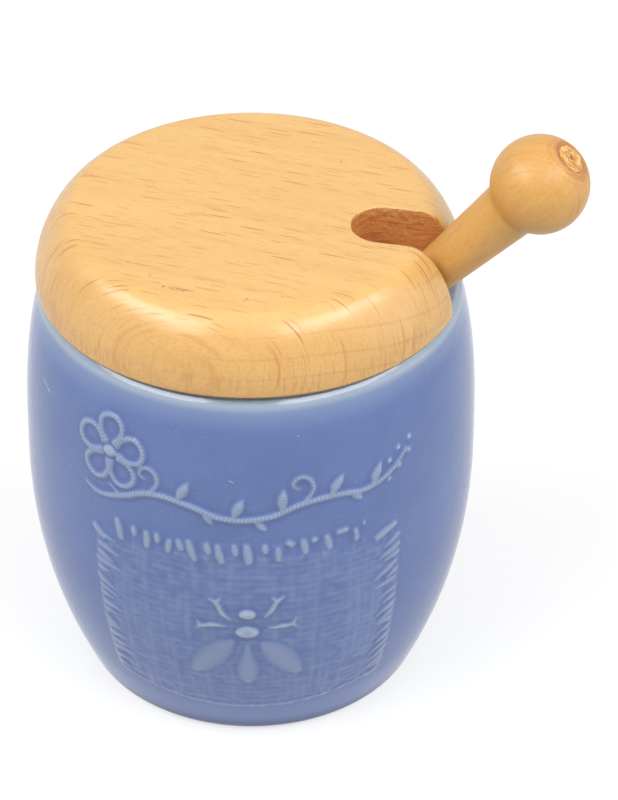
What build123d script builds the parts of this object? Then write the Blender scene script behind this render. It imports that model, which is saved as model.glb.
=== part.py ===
from build123d import *

import os
from math import acos, cos, degrees, radians, sin, sqrt

# A glazed stoneware honey pot, a turned beech lid that drops into its mouth, and a
# beech honey dipper that leans out through a notch in the lid.
# Millimetres. The origin is the middle of the foot ring on the table, +Z is up,
# and the notch and the leaning dipper point along +X.

# ---- driving dimensions: pot --------------------------------------------------------
pot_height = 93.5
belly_radius = 47.5        # widest point of the barrel
belly_height = 53.7        # where the barrel is widest
foot_draw = 11.9           # how far the wall comes in from the belly down to the table
foot_power = 2.16
rim_draw = 6.0             # how far the wall comes in from the belly up to the rim
rim_power = 3.7
wall = 5.0
floor_height = 6.5
mouth_radius = 38.3        # bore of the thickened rim
mouth_depth = 8.0          # straight part of the mouth, below the rounded rim
rim_rounding = 1.9         # outer edge of the rim
mouth_rounding = 1.2       # inner edge of the rim
heel_rounding = 3.6
floor_rounding = 8.0
foot_recess_radius = 29.0
foot_recess_depth = 1.5

# ---- driving dimensions: raised decoration on the pot's front -----------------------
front_azimuth = -78.3      # degrees from +X, where the decoration faces
patch_half_width = 31.0    # half the cloth patch's width, seen straight on
patch_bottom = 14.4        # at the patch's corners
patch_top = 55.8
patch_bow = 4.1            # how far the top and bottom edges bulge in the middle
patch_relief = 0.6
bee_relief = 1.5

# ---- driving dimensions: lid --------------------------------------------------------
seat_gap = 0.4             # air between the lid's underside and the rim
lid_radius = 44.5
lid_thickness = 16.4
lid_edge_rounding = 1.6    # lower outside edge
shoulder_width = 8.5       # the soft shoulder, across
shoulder_drop = 14.6       # the soft shoulder, down
shoulder_fullness = 0.45   # 0.55 would be an ellipse, less is flatter
plug_clearance = 0.8       # all round, between the plug and the mouth
plug_depth = 3.8
plug_chamfer = 0.8
notch_width = 12.9
notch_reach = 27.7         # from the axis to the centre of the notch's round end

# ---- driving dimensions: dipper -----------------------------------------------------
tilt = 40.8                # degrees from upright
knob_across = 59.5         # the knob's centre, outwards from the pot's axis
knob_up = 124.5            # the knob's centre, above the table
knob_radius = 10.1
neck_radius = 6.2          # the shaft where it meets the knob
shaft_middle_radius = 4.2
shaft_middle = 40.0        # distances along the dipper count from the knob's centre
shaft_end_radius = 3.6
head_middle = 119.5
head_half_length = 21.0
head_radius = 13.0
groove_count = 6
groove_pitch = 5.1
groove_width = 2.5
groove_core_radius = 5.6


def wall_radius(height):
    """Outside radius of the bare barrel at a height."""
    if height < belly_height:
        return belly_radius - foot_draw * ((belly_height - height) / belly_height) ** foot_power
    rise = (height - belly_height) / (pot_height - belly_height)
    return belly_radius - rim_draw * rise**rim_power


def wall_points(low, high, steps, outwards=0.0):
    """Points up the wall's outside, moved outwards by the given amount."""
    heights = [low + (high - low) * step / steps for step in range(steps + 1)]
    return [(wall_radius(height) + outwards, height) for height in heights]


# ---- decoration: a raised cloth patch and a bee on it, cut from skins of the barrel --
# The outlines are drawn on an upright plane that faces the front: x runs to the
# viewer's right and y up from the table.
front = Vector(cos(radians(front_azimuth)), sin(radians(front_azimuth)), 0)
front_plane = Plane(origin=(0, 0, 0), x_dir=(-front.Y, front.X, 0), z_dir=front)
skin_root = -1.5           # skins start inside the wall, so that they join it

with BuildPart() as patch:
    with BuildSketch(Plane.XZ):
        with BuildLine():
            low, high = patch_bottom - 8, patch_top + 8
            outside = Spline(*wall_points(low, high, 5, patch_relief))
            inside = Spline(*wall_points(low, high, 5, skin_root))
            Line(outside @ 0, inside @ 0)
            Line(outside @ 1, inside @ 1)
        make_face()
    revolve(axis=Axis.Z)
    with BuildSketch(front_plane):
        with BuildLine():
            left, right = -patch_half_width, patch_half_width
            ThreePointArc((left, patch_top), (0, patch_top + patch_bow), (right, patch_top))
            Line((right, patch_top), (right, patch_bottom))
            ThreePointArc((right, patch_bottom), (0, patch_bottom - patch_bow), (left, patch_bottom))
            Line((left, patch_bottom), (left, patch_top))
        make_face()
    extrude(amount=belly_radius + 5, mode=Mode.INTERSECT)

with BuildPart() as bee:
    with BuildSketch(Plane.XZ):
        with BuildLine():
            outside = Spline(*wall_points(patch_bottom, patch_top, 5, bee_relief))
            inside = Spline(*wall_points(patch_bottom, patch_top, 5, skin_root))
            Line(outside @ 0, inside @ 0)
            Line(outside @ 1, inside @ 1)
        make_face()
    revolve(axis=Axis.Z)
    with BuildSketch(front_plane):
        with Locations((0, 41.6)):
            Circle(2.5)                           # head
        with Locations((0, 36.8)):
            Ellipse(4.0, 3.2)                     # thorax
        with Locations((0, 27.2)):
            Ellipse(4.3, 7.2)                     # abdomen
        with Locations(Location((6.6, 29.0), 52), Location((-6.6, 29.0), -52)):
            Ellipse(2.9, 6.2)                     # wings
    extrude(amount=belly_radius + 5, mode=Mode.INTERSECT)

# ---- pot ----------------------------------------------------------------------------
throat_height = pot_height - mouth_rounding - mouth_depth
belly_bore = belly_radius - wall

with BuildPart() as pot:
    with BuildSketch(Plane.XZ):
        with BuildLine():
            outer_wall = Spline(*wall_points(0, pot_height, 8))
            Line(outer_wall @ 1, (mouth_radius, pot_height))
            Line((mouth_radius, pot_height), (mouth_radius, throat_height))
            inner_wall = Spline(
                (mouth_radius, throat_height),
                (belly_bore - 0.7, belly_height + 14),
                (belly_bore, belly_height - 3),
                (wall_radius(24) - wall, 24),
                (wall_radius(floor_height) - wall - 0.6, floor_height),
                tangents=[(0, -1), (-0.62, -1)],
            )
            Line(inner_wall @ 1, (0, floor_height))
            Line((0, floor_height), (0, foot_recess_depth))
            Polyline(
                (0, foot_recess_depth),
                (foot_recess_radius, foot_recess_depth),
                (foot_recess_radius + foot_recess_depth, 0),
                outer_wall @ 0,
            )
        make_face()
        mouth_corner = vertices().group_by(Axis.Y)[-1].sort_by(Axis.X)[0]
        fillet(mouth_corner, mouth_rounding)
        rim_corner = vertices().group_by(Axis.Y)[-1].sort_by(Axis.X)[-1]
        fillet(rim_corner, rim_rounding)
        heel_corner = vertices().group_by(Axis.Y)[0].sort_by(Axis.X)[-1]
        fillet(heel_corner, heel_rounding)
        floor_corners = vertices().filter_by(lambda corner: abs(corner.Y - floor_height) < 0.01)
        fillet(floor_corners.sort_by(Axis.X)[-1], floor_rounding)
    revolve(axis=Axis.Z)
    add(patch.part)
    add(bee.part)

# ---- lid ----------------------------------------------------------------------------
lid_base = pot_height + seat_gap
lid_top = lid_base + lid_thickness
plug_radius = mouth_radius - plug_clearance
plug_base = lid_base - plug_depth

with BuildPart() as lid:
    with BuildSketch(Plane.XZ):
        with BuildLine():
            Polyline(
                (0, lid_top),
                (0, plug_base),
                (plug_radius - plug_chamfer, plug_base),
                (plug_radius, plug_base + plug_chamfer),
                (plug_radius, lid_base),
                (lid_radius - lid_edge_rounding, lid_base),
            )
            edge_centre = (lid_radius - lid_edge_rounding, lid_base + lid_edge_rounding)
            CenterArc(edge_centre, lid_edge_rounding, 270, 90)
            Line((lid_radius, lid_base + lid_edge_rounding), (lid_radius, lid_top - shoulder_drop))
            Bezier(
                (lid_radius, lid_top - shoulder_drop),
                (lid_radius, lid_top - shoulder_drop * (1 - shoulder_fullness)),
                (lid_radius - shoulder_width * (1 - shoulder_fullness), lid_top),
                (lid_radius - shoulder_width, lid_top),
            )
            Line((lid_radius - shoulder_width, lid_top), (0, lid_top))
        make_face()
    revolve(axis=Axis.Z)
    with BuildSketch(Plane.XY.offset(plug_base)):
        notch_length = 2 * (lid_radius + 5 - notch_reach) + notch_width
        with Locations((notch_reach - notch_width / 2 + notch_length / 2, 0)):
            SlotOverall(notch_length, notch_width)
    extrude(amount=plug_depth + lid_thickness, mode=Mode.SUBTRACT)

# ---- dipper -------------------------------------------------------------------------
knob_centre = Vector(knob_across, 0, knob_up)
up_shaft = Vector(sin(radians(tilt)), 0, cos(radians(tilt)))
# on this plane x is the turning radius and y runs up the dipper, with 0 at the knob
dipper_plane = Plane(origin=knob_centre, x_dir=(up_shaft.Z, 0, -up_shaft.X), z_dir=(0, -1, 0))
dipper_axis = Axis(knob_centre, up_shaft)
neck = (neck_radius, -sqrt(knob_radius**2 - neck_radius**2))
first_groove = head_middle - groove_pitch * (groove_count - 1) / 2

with BuildPart() as dipper:
    with BuildSketch(dipper_plane):
        with BuildLine():
            knob = ThreePointArc((0, knob_radius), (knob_radius, 0), neck)
            head = EllipticalCenterArc(
                (0, -head_middle),
                head_radius,
                head_half_length,
                start_angle=-90,
                arc_size=90 + degrees(acos(shaft_end_radius / head_radius)),
            )
            Spline(
                knob @ 1,
                (shaft_middle_radius, -shaft_middle),
                (shaft_end_radius, -(shaft_middle + head_middle) / 2),
                head @ 1,
            )
            Line(head @ 0, knob @ 0)
        make_face()
    revolve(axis=dipper_axis)
    with BuildSketch(dipper_plane):
        for groove in range(groove_count):
            with Locations((groove_core_radius + head_radius / 2, -first_groove - groove * groove_pitch)):
                SlotOverall(head_radius, groove_width)
    revolve(axis=dipper_axis, mode=Mode.SUBTRACT)

# ---- write each piece ---------------------------------------------------------------
os.makedirs("parts", exist_ok=True)

pot.part.label = "pot"
export_step(pot.part, "parts/pot.step")

lid.part.label = "lid"
export_step(lid.part, "parts/lid.step")

dipper.part.label = "dipper"
export_step(dipper.part, "parts/dipper.step")
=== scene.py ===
# %% [markdown]
# # A honey pot with a wooden lid and a honey dipper
#
# A honey pot is three loose pieces: a glazed stoneware barrel, a turned beech lid that drops into its mouth, and a
# beech dipper that leans out through a notch in the lid. The CAD model fixes every size. This lesson dresses it:
# each plain solid gives way to a piece with the relief, the grain and the glaze of the real thing, in the same place.
# The frame comes first, and the plain model's parts are kept, hidden.

# %% The frame
from math import asin, atan2, cos, pi, radians, sin, sqrt, tan

import bmesh
import bpy
import numpy as np
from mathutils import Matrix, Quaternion, Vector, noise as field


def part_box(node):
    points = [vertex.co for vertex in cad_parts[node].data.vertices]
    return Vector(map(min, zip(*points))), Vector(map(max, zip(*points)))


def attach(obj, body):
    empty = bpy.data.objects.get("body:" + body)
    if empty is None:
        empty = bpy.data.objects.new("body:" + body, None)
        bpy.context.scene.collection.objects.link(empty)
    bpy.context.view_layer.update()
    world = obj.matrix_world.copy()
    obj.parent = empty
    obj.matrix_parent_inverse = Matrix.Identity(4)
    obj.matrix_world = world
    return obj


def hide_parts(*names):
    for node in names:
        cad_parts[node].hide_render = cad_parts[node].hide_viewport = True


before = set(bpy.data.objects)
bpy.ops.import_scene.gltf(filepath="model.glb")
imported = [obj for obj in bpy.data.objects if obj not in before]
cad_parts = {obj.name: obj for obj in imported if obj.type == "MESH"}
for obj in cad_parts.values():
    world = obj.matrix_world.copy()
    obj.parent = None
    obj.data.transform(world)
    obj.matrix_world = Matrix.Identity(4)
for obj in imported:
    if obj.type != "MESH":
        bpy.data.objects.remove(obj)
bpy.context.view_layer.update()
MM = 0.001

# %% [markdown]
# ## Where the camera stands
#
# A small object is usually pictured with a long lens from well back, looking down on it, so that the barrel's sides
# stay nearly parallel and the lid reads as a disc. The camera is placed by what it looks at, how far it is turned
# round the pot and how far it looks down. Turning and tilting one rotation is easier to keep right than typing in
# three angles.

# %% The camera
camera_turn = radians(11.94)         # round the pot, from straight in front of the -Y side
camera_drop = radians(36.361)        # how far it looks down
camera_lean = radians(0.269)         # the horizon is not quite level
camera_distance = 800 * MM
looked_at = Vector((10.37, 10.30, 55.79)) * MM
lens, sensor = 167.35, 36            # mm

level = Vector((-sin(camera_turn), cos(camera_turn), 0))
forward = level * cos(camera_drop) - Vector((0, 0, sin(camera_drop)))
camera_data = bpy.data.cameras.new("camera")
camera_data.sensor_width, camera_data.lens = sensor, lens
camera_data.clip_start, camera_data.clip_end = 0.05, 20
camera = bpy.data.objects.new("camera", camera_data)
camera.rotation_mode = "QUATERNION"
camera.rotation_quaternion = forward.to_track_quat("-Z", "Y") @ Quaternion((0, 0, 1), camera_lean)
camera.location = looked_at - forward * camera_distance
bpy.context.scene.collection.objects.link(camera)
bpy.context.scene.camera = camera
bpy.context.scene.view_settings.view_transform = "Standard"
print("camera at", [round(value / MM) for value in camera.location], "mm")

# %% [markdown]
# ## Nodes written as sums
#
# Materials and Geometry Nodes are both trees of small steps, and most steps are plain arithmetic. Placing each node
# by hand hides what is being worked out. `Sum` wraps a socket so that `+`, `*` and the rest each add one Math node:
# the same few lines then serve the weave on the pot and the grain in the wood. Two soft steps do most of the drawing.
# `rises` goes from 0 to 1 between two values, and `falls` goes from 1 to 0.

# %% Nodes and sums
def put(tree, kind, feeds=(), **settings):
    """Adds a node. feeds maps an input's name or number to a value, a socket or a Sum."""
    node = tree.nodes.new(kind)
    for name, setting in settings.items():
        setattr(node, name, setting)
    for key, feed in dict(feeds).items():
        feed = getattr(feed, "socket", feed)
        if isinstance(feed, bpy.types.NodeSocket):
            tree.links.new(feed, node.inputs[key])
        else:
            node.inputs[key].default_value = feed
    return node


class Sum:
    """A number that a tree works out, to reckon with as with a plain number."""

    def __init__(self, tree, socket):
        self.tree, self.socket = tree, socket

    def step(self, operation, *others):
        node = put(self.tree, "ShaderNodeMath", enumerate((self, *others)), operation=operation)
        return Sum(self.tree, node.outputs[0])

    def __add__(self, other):
        return self.step("ADD", other)

    def __sub__(self, other):
        return self.step("SUBTRACT", other)

    def __mul__(self, other):
        return self.step("MULTIPLY", other)

    def __truediv__(self, other):
        return self.step("DIVIDE", other)

    def __pow__(self, other):
        return self.step("POWER", other)

    def __neg__(self):
        return self.step("MULTIPLY", -1.0)

    def __abs__(self):
        return self.step("ABSOLUTE")

    def rest(self):
        """What is left of 1."""
        return -self + 1.0

    def rises(self, low, high):
        """0 below low, 1 above high, and a soft step between them."""
        node = put(
            self.tree, "ShaderNodeMapRange", {0: self, 1: low, 2: high}, interpolation_type="SMOOTHSTEP"
        )
        return Sum(self.tree, node.outputs[0])

    def falls(self, low, high):
        """1 below low, 0 above high, and a soft step between them."""
        return (-self).rises(-high, -low)


print("sums can", [name for name in vars(Sum) if not name.startswith("_")])


# %% Vectors and noise
def parts_of(tree, vector):
    """The x, y and z of a vector socket, as Sums."""
    node = put(tree, "ShaderNodeSeparateXYZ", {0: vector})
    return [Sum(tree, outlet) for outlet in node.outputs]


def vector_of(tree, x=0.0, y=0.0, z=0.0):
    return put(tree, "ShaderNodeCombineXYZ", {0: x, 1: y, 2: z}).outputs[0]


def length_of(x, y):
    """How far the point (x, y) is from the middle."""
    return (x * x + y * y).step("SQRT")


def noise(tree, place, detail=2.0, rough=0.5):
    """Soft noise with patches about one unit across. place is up to three numbers or Sums."""
    node = put(tree, "ShaderNodeTexNoise", {
        "Vector": vector_of(tree, *place), "Scale": 1.0, "Detail": detail, "Roughness": rough})
    return Sum(tree, node.outputs[0])


# %% Colours and materials
def screen(red, green, blue):
    """A colour given as 0-255 screen values, in the linear values that nodes use."""
    values = [value / 255 for value in (red, green, blue)]
    return (*(v / 12.92 if v <= 0.04045 else ((v + 0.055) / 1.055) ** 2.4 for v in values), 1.0)


def blended(tree, amount, first, second):
    """Two colours mixed by an amount from 0 to 1."""
    node = put(tree, "ShaderNodeMix", {0: amount, 6: first, 7: second}, data_type="RGBA", blend_type="MIX")
    return node.outputs[2]


def tinted(tree, colour, amount, tone):
    """A colour with a tone, in screen values, laid over it by an amount from 0 to 1."""
    return blended(tree, amount, colour, screen(*tone))


def new_material(name):
    """An empty material: its tree, its Principled shader, and where a point is on the piece, in metres."""
    material = bpy.data.materials.new(name)
    material.use_nodes = True
    tree = material.node_tree
    shader = tree.nodes["Principled BSDF"]
    place = put(tree, "ShaderNodeTexCoord").outputs["Object"]
    return material, tree, shader, place


print("screen value 128 is", round(screen(128, 128, 128)[0], 3), "in linear light")

# %% [markdown]
# ## Profiles with rounded corners
#
# Thrown and turned pieces are all profiles spun round an axis. A real corner is never sharp: sanding, wet fingers or
# glaze round it, and the round edge is what catches the light. `rounded` takes a profile as corner points, each with
# its rounding, and lays an arc of short steps into each one.

# %% A profile with rounded corners
def rounded(corners, steps=6):
    """Points of a profile. Each corner is (x, y, rounding)."""
    points = []
    for index, (x, y, rounding) in enumerate(corners):
        here = Vector((x, y))
        if not rounding or index in (0, len(corners) - 1):
            points.append(here)
            continue
        back = (Vector(corners[index - 1][:2]) - here).normalized()
        on = (Vector(corners[index + 1][:2]) - here).normalized()
        half_opening = back.angle(on) / 2
        reach = rounding / tan(half_opening)
        centre = here + (back + on).normalized() * (rounding / sin(half_opening))
        start, end = here + back * reach - centre, here + on * reach - centre
        turn = atan2(start.x * end.y - start.y * end.x, start.dot(end))
        for step in range(steps + 1):
            a = turn * step / steps
            arm = Vector((start.x * cos(a) - start.y * sin(a), start.x * sin(a) + start.y * cos(a)))
            points.append(centre + arm)
    return points


print("one rounded corner between two ends:", len(rounded([(0, 0, 0), (9, 0, 2), (9, 9, 0)])), "points")

# %% [markdown]
# ## Closed pieces
#
# A piece that is built from rows of points has to end up closed, with every face turned outwards, or light leaks in
# and a printed copy fails. So each one goes through the same last step, which turns the faces, smooths them and counts
# the edges that don't have a face on both sides. The count should be 0.

# %% From rows of points to a piece
def mesh_object(name, mesh):
    piece = bpy.data.objects.new(name, mesh)
    bpy.context.scene.collection.objects.link(piece)
    return piece


def row_of(mesh, points, height):
    """One vertex for each (x, y), all at one height, in millimetres."""
    return [mesh.verts.new((x * MM, y * MM, height * MM)) for x, y in points]


def fan(mesh, pole, ring):
    """Closes a ring of vertices with triangles that meet at a pole."""
    for index, vertex in enumerate(ring):
        mesh.faces.new((pole, vertex, ring[(index + 1) % len(ring)]))


def open_edges(data):
    """How many edges don't have a face on both sides; none on a closed surface."""
    loops = np.zeros(len(data.loops), int)
    data.loops.foreach_get("edge_index", loops)
    return int((np.bincount(loops, minlength=len(data.edges)) != 2).sum())


def finished(mesh, name, *materials):
    """Turns a bmesh into a smooth piece with its faces outwards."""
    bmesh.ops.recalc_face_normals(mesh, faces=mesh.faces)
    data = bpy.data.meshes.new(name)
    mesh.to_mesh(data)
    mesh.free()
    for material in materials:
        data.materials.append(material)
    data.shade_smooth()
    corners = np.array([vertex.co for vertex in data.vertices]) / MM
    print(f"{name}: {len(data.vertices)} vertices, {open_edges(data)} open edges")
    print("  from", corners.min(0).round(2), "to", corners.max(0).round(2), "mm")
    return mesh_object(name, data)


# %% [markdown]
# ## Beech
#
# Beech is a pale, pinkish-gold wood with a plain grain that three things mark. Growth rings are broad soft bands.
# Rays are thin upright sheets of darker cells: cut through the top they are short dashes along the grain, and on the
# sides they stand as fine upright lines. Pores are the finest speckle, drawn out along the grain. All three live in
# the block of wood, so the pattern is worked out in the block's own space and every cut shows the right face of it.
# The Mapping node turns that space, so that its x runs along the grain.

# %% Rays
RAY_LEAN = 0.22                        # how far the sheets lean over, as a slope
# Each set of rays is the sides of a cell, one ray to a cell, and half a ray's own size, in mm.
BROAD_RAYS = (9.0, 2.1, 19.0), (3.5, 0.17, 9.0)
SHORT_RAYS = (7.0, 1.8, 12.0), (2.1, 0.14, 5.5)
FINE_RAYS = (4.2, 0.9, 9.0), (1.5, 0.09, 4.0)


def flecks(tree, x, y, z, sides, halves):
    """Thin sheets, scattered one to a cell of the block."""
    place = [value / side for value, side in zip((x, y, z), sides)]
    cell = put(tree, "ShaderNodeTexVoronoi", {
        "Vector": vector_of(tree, *place), "Scale": 1.0, "Randomness": 0.85})
    chance = parts_of(tree, cell.outputs["Color"])
    away = None
    for value, middle, side, half in zip(place, parts_of(tree, cell.outputs["Position"]), sides, halves):
        off = (value - middle) * (side / half)
        away = off * off if away is None else away + off * off
    kept = chance[0].rest().rises(0.0, 0.15)
    return away.rest().rises(0.0, 0.45) * kept * (chance[1] * 0.65 + 0.35)


print("a broad ray is", [2 * half for half in BROAD_RAYS[1]], "mm")

# %% Beech as a material
RING_PITCH = 3.85                      # from one growth ring to the next, mm


def beech(name, grain_origin, grain_turn, pale, warm, dash, gloss, ray_lean=RAY_LEAN, rays_show=None):
    """A beech finish. grain_turn lays x along the grain and z across the growth rings.

    rays_show says how plainly the rays show at a place, because a cut along them shows only their flat sides.
    Returns the material, its tree, the place in the block in mm, the wood's colour and its grain's height."""
    material, tree, shader, place = new_material(name)
    turned = put(
        tree, "ShaderNodeMapping", {"Vector": place, "Location": grain_origin, "Rotation": grain_turn},
        vector_type="TEXTURE",
    ).outputs[0]
    x, y, z = (value / MM for value in parts_of(tree, turned))

    sway = noise(tree, (x / 40, y / 13, z / 20)) - 0.5
    swell = (x - 22.0).step("MAXIMUM", 0.0)
    layer = (z - 0.7 + swell * swell * 0.014 + y * y * 0.0004 + sway * 0.9) / RING_PITCH
    ring = abs(layer.step("FRACT") - 0.5) * 2.0
    late_wood = ring.rises(0.80, 1.0) * (x.rises(-5.0, 25.0) * 0.20 + 0.05) * z.falls(-5.0, -1.5)

    across = y - z * ray_lean + sway * 1.6
    shown = rays_show(x, y, z) if rays_show else 1.0
    rays = flecks(tree, x, across, z, *BROAD_RAYS) * shown
    short_rays = flecks(tree, x + 40.0, across + 9.0, z + 5.0, *SHORT_RAYS) * shown
    fine_rays = flecks(tree, x + 3.7, across, z, *FINE_RAYS) * shown
    fibres = noise(tree, (x / 1.8, across / 0.32, z / 0.9), 2.0, 0.7)
    pores = noise(tree, (x / 0.9, across / 0.12, z / 0.35), 2.0, 0.7).rises(0.50, 0.78)
    clouds = noise(tree, (x / 50, across / 4, z / 9), 3.0).rises(0.3, 0.7)

    wood = blended(tree, clouds * 0.6, screen(*pale), screen(*warm))
    thread = fibres.rises(0.46, 0.72)
    for amount in (late_wood, thread * 0.08, pores * 0.09, fine_rays * 0.35, short_rays * 0.62, rays):
        wood = tinted(tree, wood, amount, dash)
    hills = -(rays * 0.35 + pores * 0.4 + fine_rays * 0.3 + fibres * 0.4)
    tree.links.new((pores * 0.10 + rays * 0.02 + clouds * 0.04 + gloss).socket, shader.inputs["Roughness"])
    return material, tree, (x, y, z), wood, hills


def finish_wood(tree, wood, hills):
    """Joins a wood's colour and the height of its grain to its shader."""
    shader = tree.nodes["Principled BSDF"]
    bump = put(tree, "ShaderNodeBump", {"Height": hills, "Strength": 0.25, "Distance": 0.12 * MM})
    tree.links.new(wood, shader.inputs["Base Color"])
    tree.links.new(bump.outputs[0], shader.inputs["Normal"])
    print("wood finish of", len(tree.nodes), "nodes")


print("growth rings every", RING_PITCH, "mm, the rays lean", round(atan2(RAY_LEAN, 1), 2), "radians")

# %% [markdown]
# ## The lid
#
# The lid is a turned disc with a soft shoulder, a plug underneath and a notch for the dipper. Seen from above, each
# height of it is one outline: a circle with a rounded slot let into it. Lofting such outlines down the profile gives
# the notch, its broken edges and the shoulder together, with clean quads and no boolean cut to tidy up.

# %% The lid's sizes, in millimetres
lid_low, lid_high = (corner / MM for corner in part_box("lid"))
lid_top, plug_base = lid_high.z, lid_low.z
lid_radius = -lid_low.y
lid_thickness = 16.4
lid_base = lid_top - lid_thickness
shoulder_width, shoulder_drop, shoulder_fullness = 8.5, 14.6, 0.45
lid_edge_rounding = 0.6
seat_radius, seat_rise = 41.2, 0.38   # outside the seat, the lid stands clear of the rim
plug_radius, plug_chamfer = 37.5, 0.8
notch_half, notch_reach = 12.9 / 2, 27.7
notch_lip = 0.35                      # rounding of the notch's top edge
notch_corner = 1.1                    # rounding where the notch leaves the side
notch_true_from = 42.0                # further out than this, the notch's wall isn't torn
print("lid: radius", round(lid_radius, 2), "top", round(lid_top, 2), "base", round(lid_base, 2))

# %% One outline of the lid
ARC_STEPS, CORNER_STEPS, END_STEPS = 232, 5, 44
OUTER_STEPS, INNER_STEPS = 18, 22     # along the notch's wall, outside the plug's edge and inside it


def notch_width_at(height):
    """Half the notch's width: it opens at the top and bottom lips."""
    over = max(0.0, height - (lid_top - notch_lip), (plug_base + notch_lip / 2) - height)
    return notch_half + notch_lip - sqrt(max(0.0, notch_lip**2 - min(over, notch_lip) ** 2))


def corner_at(radius, half):
    """How far out the notch's rounded corner has its centre, on an outline of this radius."""
    return sqrt((radius - notch_corner) ** 2 - (half + notch_corner) ** 2)


def lid_rim(radius, half):
    """The outer part of an outline, from one wall of the notch round to the other."""
    corner_x = corner_at(radius, half)
    start = atan2(half + notch_corner, corner_x)
    corner = []
    for step in range(CORNER_STEPS):
        angle = -pi / 2 + (start + pi / 2) * step / CORNER_STEPS
        corner.append((corner_x + notch_corner * cos(angle), half + notch_corner + notch_corner * sin(angle)))
    turns = [start + (2 * pi - 2 * start) * step / ARC_STEPS for step in range(ARC_STEPS + 1)]
    arc = [(radius * cos(turn), radius * sin(turn)) for turn in turns]
    return corner + arc + [(x, -y) for x, y in reversed(corner)]


def lid_notch(rim, half, split):
    """The inner part, back along the notch. split shares the straight wall between its two runs of points."""
    outside_x = rim[0][0]
    middle_x = notch_reach + (outside_x - notch_reach) * split
    wall = [outside_x + (middle_x - outside_x) * step / OUTER_STEPS for step in range(1, OUTER_STEPS)]
    wall += [middle_x + (notch_reach - middle_x) * step / INNER_STEPS for step in range(INNER_STEPS)]
    turns = [pi / 2 + pi * step / END_STEPS for step in range(END_STEPS + 1)]
    end = [(notch_reach + half * cos(a), -half * sin(a)) for a in turns]
    return [(x, -half) for x in wall] + end + [(x, half) for x in reversed(wall)]


top_rim = lid_rim(lid_radius, notch_half)
print("one outline:", len(top_rim) + len(lid_notch(top_rim, notch_half, 0.5)), "points")

# %% [markdown]
# A milled slot is never as clean as a turned face. Its cutter chatters and tears the fibres, so the wall of the notch
# gets a fraction of a millimetre of two noises, one coarse and one drawn out up the wall.

# %% Outlines into rows of vertices
def torn(x, y, z):
    """How far the milled wall of the notch stands off true, in millimetres."""
    chatter = field.noise(Vector((x * 0.5, y * 0.5, z * 1.1)))
    fibres = field.noise(Vector((x * 2.1, y * 2.1, z * 0.9 + 40)))
    return 0.12 * chatter + 0.12 * fibres


def add_outline(mesh, radius, height, spread=0.0, split=0.5):
    """Adds one row of vertices and returns its outer and inner parts."""
    half = notch_width_at(height) + spread
    rim = lid_rim(radius, half)
    milled = []
    for x, y in lid_notch(rim, half, split):
        stray = torn(x, y, height) if height < lid_top - 0.1 and x < notch_true_from else 0.0
        off = Vector((x - notch_reach, y, 0)).normalized() * stray
        milled.append((x + off.x, y + off.y))
    return row_of(mesh, rim, height), row_of(mesh, milled, height)


def loft(mesh, upper, lower, slot_from):
    """Joins two closed rows. Below the rounded lip, faces from slot_from on are the notch's milled wall."""
    for index in range(len(upper)):
        beside = (index + 1) % len(upper)
        face = mesh.faces.new((upper[index], lower[index], lower[beside], upper[beside]))
        milled = index >= slot_from and lower[index].co.z < (lid_top - notch_lip * 0.7) * MM
        face.material_index = 1 if milled else 0


print("at one point the milled wall strays by", round(torn(30.0, notch_half, lid_base), 3), "mm")


# %% The lid lofted from its top to its edge
def bezier(points, steps):
    a, b, c, d = (Vector(point) for point in points)
    for step in range(steps + 1):
        t = step / steps
        yield a * (1 - t) ** 3 + b * 3 * t * (1 - t) ** 2 + c * 3 * t * t * (1 - t) + d * t**3


lid_mesh = bmesh.new()
shoulder = list(bezier((
    (lid_radius - shoulder_width, lid_top),
    (lid_radius - shoulder_width * (1 - shoulder_fullness), lid_top),
    (lid_radius, lid_top - shoulder_drop * (1 - shoulder_fullness)),
    (lid_radius, lid_top - shoulder_drop)), 34))
side = rounded([
    (lid_radius, lid_top - shoulder_drop, 0),
    (lid_radius, lid_base + seat_rise, lid_edge_rounding),
    (seat_radius, lid_base + seat_rise, 0.3),
    (seat_radius - seat_rise, lid_base, 0),
    (plug_radius, lid_base, 0)])
plug_corner_x = corner_at(plug_radius, notch_half)
wall_split = (plug_corner_x - notch_reach) / (corner_at(side[-2].x, notch_half) - notch_reach)

rows = [add_outline(lid_mesh, shoulder[0].x - 0.5, lid_top, 0.5, wall_split)]
for radius, height in shoulder + side[1:-1]:
    rows.append(add_outline(lid_mesh, radius, height, 0.0, wall_split))
rim_length = len(rows[0][0])
for (outer, inner), (lower_outer, lower_inner) in zip(rows, rows[1:]):
    loft(lid_mesh, outer + inner, lower_outer + lower_inner, rim_length - 1)
lid_mesh.faces.new(rows[0][0] + rows[0][1])
print("lid: rows down to its edge", len(rows), "faces", len(lid_mesh.faces))

# %% [markdown]
# The underside steps in to the plug. The step is a flat ring, and it shares its inner edge with the notch's wall, so
# the ring's two end faces take in the wall's points between the lid's edge and the plug.

# %% The plug under the lid
edge_outer, edge_inner = rows[-1]
plug_outer = row_of(lid_mesh, lid_rim(plug_radius, notch_half)[1:-1], lid_base)
plug_outer = [edge_inner[-OUTER_STEPS]] + plug_outer + [edge_inner[OUTER_STEPS - 1]]
for index in range(1, rim_length - 2):
    lid_mesh.faces.new((edge_outer[index], plug_outer[index], plug_outer[index + 1], edge_outer[index + 1]))
near_wall, far_wall = edge_inner[:-OUTER_STEPS:-1], edge_inner[OUTER_STEPS - 2::-1]
lid_mesh.faces.new([edge_outer[0], *near_wall, plug_outer[0], plug_outer[1], edge_outer[1]])
lid_mesh.faces.new([edge_outer[-2], plug_outer[-2], plug_outer[-1], *far_wall, edge_outer[-1]])

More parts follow.
